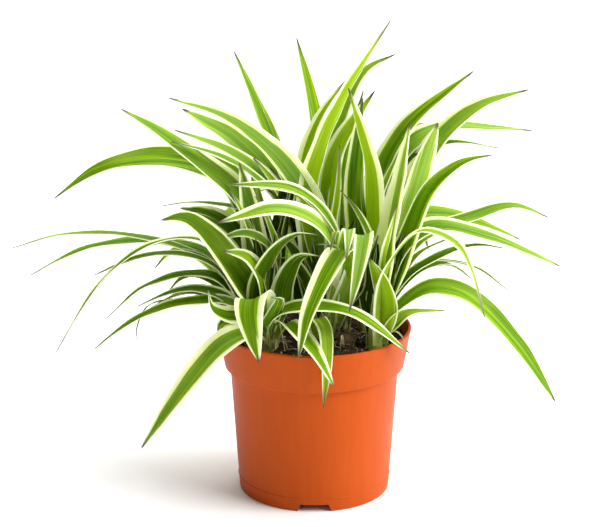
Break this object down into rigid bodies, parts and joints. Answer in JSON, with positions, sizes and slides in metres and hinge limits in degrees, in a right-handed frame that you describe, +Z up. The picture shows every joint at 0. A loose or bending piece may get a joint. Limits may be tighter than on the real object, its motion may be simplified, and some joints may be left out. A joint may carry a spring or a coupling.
{
  "type": "potted spider plant",
  "caption": "Spider plant with arching cream-edged leaves in soil, standing in a round tapered orange plastic nursery pot with a deep band and a notched foot.",
  "frame": {"origin": "middle of the pot's underside, on the surface the pot stands on", "axes": "+Z up along the pot's axis, +X to the plant's right, along its widest spread, and -Y to its front"},
  "size_m": [0.3434, 0.2281, 0.2933],
  "materials": {
    "pot_plastic": "moulded, slight satin sheen, orange terracotta colour",
    "soil": "dark crumbly peat compost with pale fibres and white grains",
    "leaf": "satin green blade with cream margins"
  },
  "bodies": {
    "root": {"pot": "pot_plastic", "soil": "soil", "shoot_front_left": "leaf", "shoot_back_left": "leaf", "shoot_front": "leaf", "shoot_back": "leaf", "shoot_front_right": "leaf", "shoot_back_right": "leaf"}
  },
  "joints": []
}
